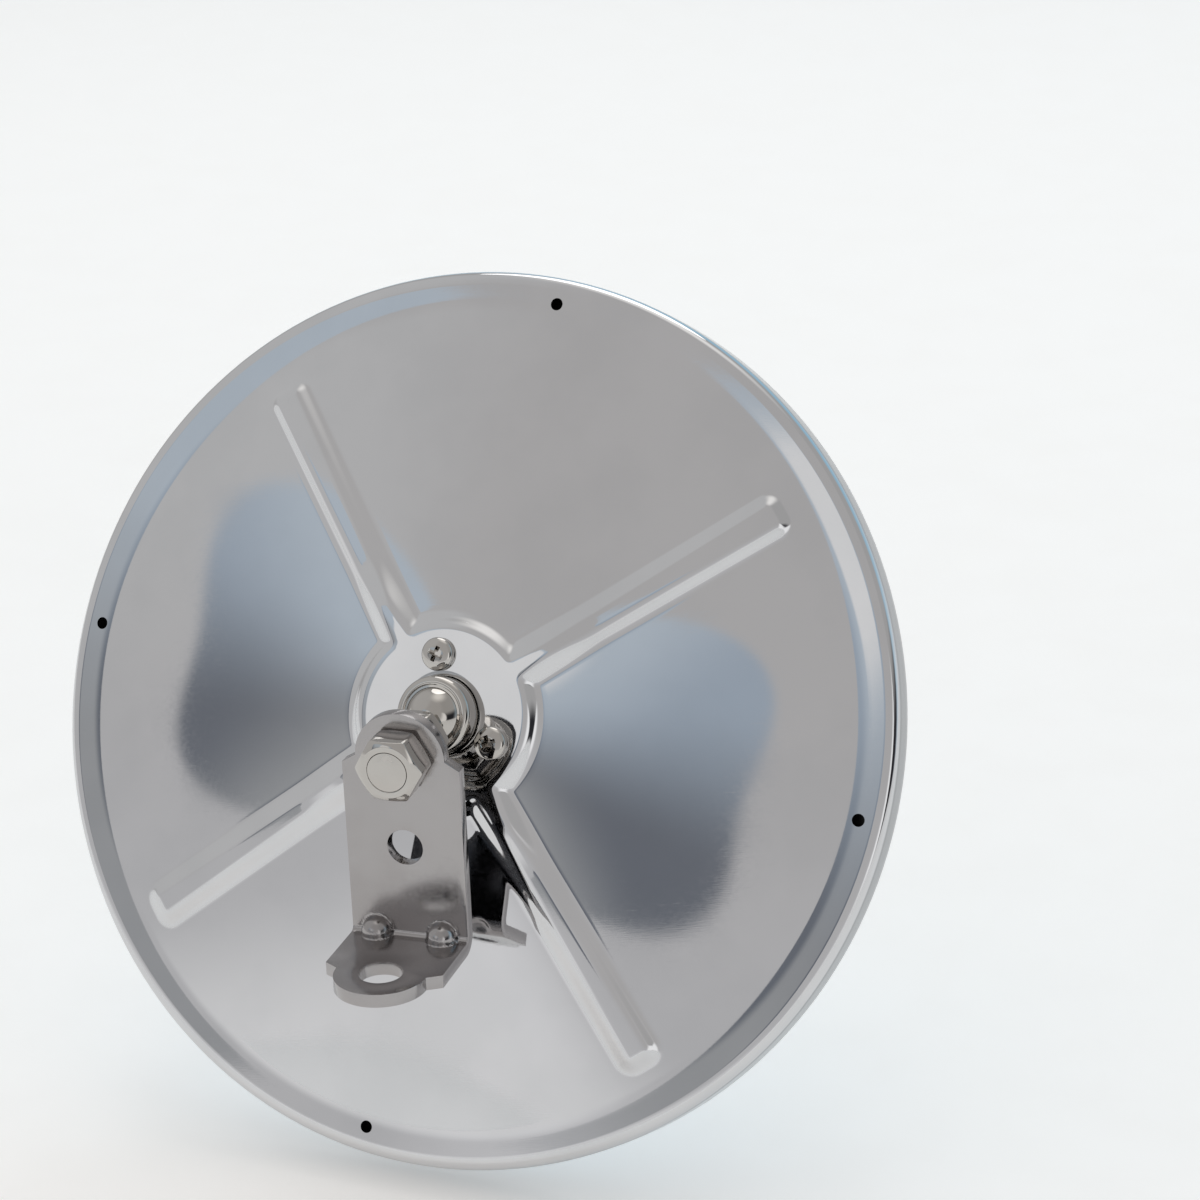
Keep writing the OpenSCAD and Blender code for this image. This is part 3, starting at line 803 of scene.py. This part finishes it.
FINISH = {
    "polished_stainless": material(
        "polished_stainless", (0.66, 0.66, 0.67), 1.0, 0.036, 0.35, tint=(0.63, 0.632, 0.642), wear=0.03,
        grain=(220, 5200, 220), grain_strength=0.008, wave=11.0, wave_strength=0.01, place=HEAD,
        # The rim colour is painted shade, a darker reflection painted on the skirt, hem and inside.
        painted_shade_rim=(0.30, 0.305, 0.315)),
    "satin_stainless": material(
        "satin_stainless", (0.40, 0.385, 0.385), 1.0, 0.17, 0.25, tint=(0.36, 0.342, 0.34), wear=0.06,
        # The last argument paints shade on the faces that look along -Y, the plate's side towards the head,
        # in place of its shadow and dark reflection.
        grain=(3400, 120, 120), grain_strength=0.05, wave=60.0, wave_strength=0.05, painted_shade_towards=(0, -1, 0)),
    "bright_nickel": material(
        "bright_nickel", (0.53, 0.51, 0.485), 1.0, 0.045, 0.4, tint=(0.485, 0.46, 0.43), wear=0.04,
        grain=(1500, 1500, 1500), grain_strength=0.03, wave=90.0, wave_strength=0.04),
    "plain_steel": material(
        "plain_steel", (0.55, 0.55, 0.56), 1.0, 0.32, 0.3, wear=0.08,
        grain=(1800, 400, 1800), grain_strength=0.2),
    "mirror_glass": material(
        "mirror_glass", (0.64, 0.81, 0.90), 1.0, 0.012, 0.4, tint=(0.61, 0.785, 0.88),
        wave=9.0, wave_strength=0.03, place=HEAD, Coat_Weight=1.0, Coat_Roughness=0.01, Coat_IOR=1.5),
    "black_rubber": material(
        "black_rubber", (0.010, 0.009, 0.009), 0.0, 0.36, 0.25, tint=(0.016, 0.0135, 0.013),
        grain=(2600, 2600, 2600), grain_strength=0.35, wave=70.0, wave_strength=0.08,
        place=HEAD, Sheen_Weight=0.06, Sheen_Roughness=0.4, Specular_IOR_Level=0.35),
    "nylon": material(
        "nylon", (0.80, 0.79, 0.74), 0.0, 0.42, 0.2, tint=(0.76, 0.74, 0.68),
        grain=(1200, 1200, 1200), grain_strength=0.2, Subsurface_Weight=0.1),
}


def dress(obj, slot, body, *nodes):
    """Gives a piece its finish, body and the CAD nodes it stands for."""
    obj.data.materials.clear()
    obj.data.materials.append(FINISH[slot])
    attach(obj, body)
    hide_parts(*nodes)
    return obj


dress(make_back(), "polished_stainless", "head", "back_shell")
dress(make_glass(), "mirror_glass", "head", "mirror_glass")
dress(make_gasket(), "black_rubber", "head", "rubber_gasket")
dress(make_retainer(), "bright_nickel", "head", "ball_retainer")
for number in (1, 2, 3):
    dress(make_screw(number), "bright_nickel", "head", f"clamp_screw_{number}")
dress(make_stud(), "bright_nickel", "stud", "ball_stud")
dress(make_nut("stud_nut_forged", height=8.3, base=26.5), "bright_nickel", "stud", "stud_nut")
dress(make_nut("jam_nut_forged", height=5.6, base=13.9), "bright_nickel", "stud", "jam_nut")
dress(make_lock_washer(), "bright_nickel", "stud", "stud_lock_washer")
dress(make_flat_washer(), "bright_nickel", "stud", "stud_flat_washer")
dress(make_bracket(), "satin_stainless", "bracket", "l_bracket")

# The parts inside the head keep their CAD shape and get their finish.
inside = {"ball_seat": "nylon", "spring_washer": "plain_steel", "clamp_plate": "satin_stainless"}
for number in (1, 2, 3):
    inside[f"screw_washer_{number}"] = "plain_steel"
    inside[f"screw_nut_{number}"] = "plain_steel"
for name, slot in inside.items():
    node = frame["nodes"][name]
    node.data.materials.clear()
    node.data.materials.append(FINISH[slot])
    node.data.polygons.foreach_set("use_smooth", [True] * len(node.data.polygons))
    node.data.set_sharp_from_angle(angle=math.radians(32))

# ---- studio ----


def direction(azimuth, elevation):
    a, e = math.radians(azimuth), math.radians(elevation)
    return Vector((math.sin(a) * math.cos(e), -math.cos(a) * math.cos(e), math.sin(e)))


def grey(level):
    return (level, level, level)


def make_world():
    """Soft light tent whose dark flag, bright strip and cards put the photo's broad patches on the steel."""
    room, flag_black = (0.50, 0.495, 0.49), (0.03, 0.03, 0.035)
    front_low, front_high = (0.90, 0.93, 0.95), (0.40, 0.66, 0.84)
    tent_low, tent_high = (0.62, 0.62, 0.63), (0.555, 0.545, 0.54)
    roof = (1.1, 1.08, 1.05)
    world = bpy.data.worlds.new("studio")
    bpy.context.scene.world = world
    world.use_nodes = True
    g = Graph(world.node_tree)
    d = g.add("TexCoord").outputs["Generated"]
    z = g.add("SeparateXYZ", d).outputs["Z"]
    up = g.math("MULTIPLY", g.math("ARCSINE", z), 180 / math.pi)
    centre = direction(150, 24)
    right = centre.cross(Vector((0, 0, 1))).normalized()
    rise = right.cross(centre)
    ahead = g.dot(d, tuple(centre))
    across = g.math("DIVIDE", g.dot(d, tuple(right)), ahead)
    above = g.math("DIVIDE", g.dot(d, tuple(rise)), ahead)

    def towards(azimuth, elevation):
        """1 in that direction and less away from it."""
        return g.dot(d, tuple(direction(azimuth, elevation)))

    # Grey room with a dark flag and a bright strip, a blue front that the glass reflects, a grey tent behind
    # the steel back, a card beside it and a bright roof.
    flag = towards(255, 8)
    dark = g.math("MULTIPLY", g.step(flag, 0.70, 0.90), g.step(up, 32, 15))
    sky = g.blend(dark, room, flag_black)
    strip = towards(207, 13)
    sky = g.blend(g.step(strip, 0.935, 0.965), sky, grey(1.15))
    front = g.blend(g.step(up, -10, 40), front_low, front_high)
    sky = g.blend(g.step(ahead, -0.05, -0.45), sky, front)
    tent = g.blend(g.step(up, -4, 30), tent_low, tent_high)
    sky = g.blend(g.step(ahead, 0.45, 0.66), sky, tent)
    side = towards(98, 38)
    sky = g.blend(g.step(side, 0.76, 0.9), sky, grey(0.62))
    sky = g.blend(g.step(up, 62, 86), sky, roof)

    def card(left, right, bottom, top, power, soft):
        """Rounded card, 1 inside and 0 outside, its edges as tangents from the centre direction.

        power is 2 for an ellipse and more for squarer corners, soft is the width of its edge."""
        x = g.math("DIVIDE", g.math("SUBTRACT", across, (left + right) / 2), (right - left) / 2)
        y = g.math("DIVIDE", g.math("SUBTRACT", above, (bottom + top) / 2), (top - bottom) / 2)
        x = g.math("POWER", g.math("ABSOLUTE", x), power)
        y = g.math("POWER", g.math("ABSOLUTE", y), power)
        size = g.math("POWER", g.math("ADD", x, y), 1 / power)
        inside = g.step(size, 1 + soft, 1 - soft)
        return g.math("MULTIPLY", inside, g.step(ahead, 0.1, 0.3))

    beside = g.math("ABSOLUTE", across)
    below = g.blend(g.step(beside, 0.24, 0.335), (0.40, 0.41, 0.42), (0.18, 0.195, 0.225))
    higher = g.blend(g.step(beside, 0.26, 0.36), (0.56, 0.63, 0.70), (0.42, 0.49, 0.57))
    window = g.blend(g.step(above, -0.17, 0.05), below, higher)
    sky = g.blend(card(-0.393, 0.35, -0.318, 0.17, power=3.2, soft=0.008), sky, window)
    hub_light = card(-0.262, 0.07, -0.13, 0.15, power=4.0, soft=0.08)
    sky = g.blend(hub_light, sky, grey(0.90))
    low_light = card(-0.25, -0.05, -0.56, -0.32, power=2.0, soft=0.6)
    sky = g.blend(low_light, sky, (0.86, 0.86, 0.87))
    sky = g.blend(g.step(up, 5, -1), sky, grey(0.88))
    out = g.add("OutputWorld")
    back = g.add("Background", sky, Strength=1.0)
    world.node_tree.links.new(back.outputs[0], out.inputs["Surface"])


def make_floor():
    """Pale paper just below the object, slightly luminous so that it stays pale in the steel."""
    gap = 0.004
    half = 6.0
    low = cad_low.z - gap
    points = [(x, y, low / MM) for x in (-half / MM, half / MM) for y in (-half / MM, half / MM)]
    obj = mesh_piece("floor", points, [[0, 1, 3, 2]], ROW)
    if obj.data.polygons[0].normal.z < 0:
        obj.data.flip_normals()
    finish = material("floor_paper", (0.90, 0.885, 0.865), 0.0, 0.7, 0.1, tint=(0.885, 0.87, 0.85),
                      **{"Emission Color": (1, 0.975, 0.95, 1), "Emission Strength": 0.27})
    obj.data.materials.append(finish)


def make_lamp(name, azimuth, elevation, distance, size, power):
    """Round lamp that looks at the ball from that direction."""
    lamp = bpy.data.lights.new(name, "AREA")
    lamp.shape = "DISK"
    lamp.size = size
    lamp.energy = power
    obj = bpy.data.objects.new(name, lamp)
    bpy.context.scene.collection.objects.link(obj)
    away = direction(azimuth, elevation)
    obj.location = ball + away * distance
    obj.rotation_mode = "QUATERNION"
    obj.rotation_quaternion = away.to_track_quat("Z", "Y")


def make_camera():
    """Seen from behind and a little above, rolled slightly, as in the photograph."""
    azimuth, elevation, roll, distance = 201.366, 22.192, -3.385, 0.70384
    yaw, pitch = -3.083, 2.218
    data = bpy.data.cameras.new("camera")
    data.sensor_width = 36
    data.lens = 89.33
    data.clip_start, data.clip_end = 0.01, 50
    camera = bpy.data.objects.new("camera", data)
    bpy.context.scene.collection.objects.link(camera)
    back = direction(azimuth, elevation)
    right = Vector((0, 0, 1)).cross(back).normalized()
    up = back.cross(right)
    aim = Matrix((right, up, back)).transposed()
    turn = Matrix.Identity(3)
    for angle, axis in ((roll, "Z"), (yaw, "Y"), (pitch, "X")):
        turn = turn @ Matrix.Rotation(math.radians(angle), 3, axis)
    camera.rotation_mode = "QUATERNION"
    camera.rotation_quaternion = (aim @ turn).to_quaternion()
    camera.location = ball + back * distance
    bpy.context.scene.camera = camera


make_world()
make_floor()
make_lamp("key", azimuth=15, elevation=62, distance=2.5, size=1.6, power=9)
make_camera()
bpy.context.scene.view_settings.view_transform = "Standard"
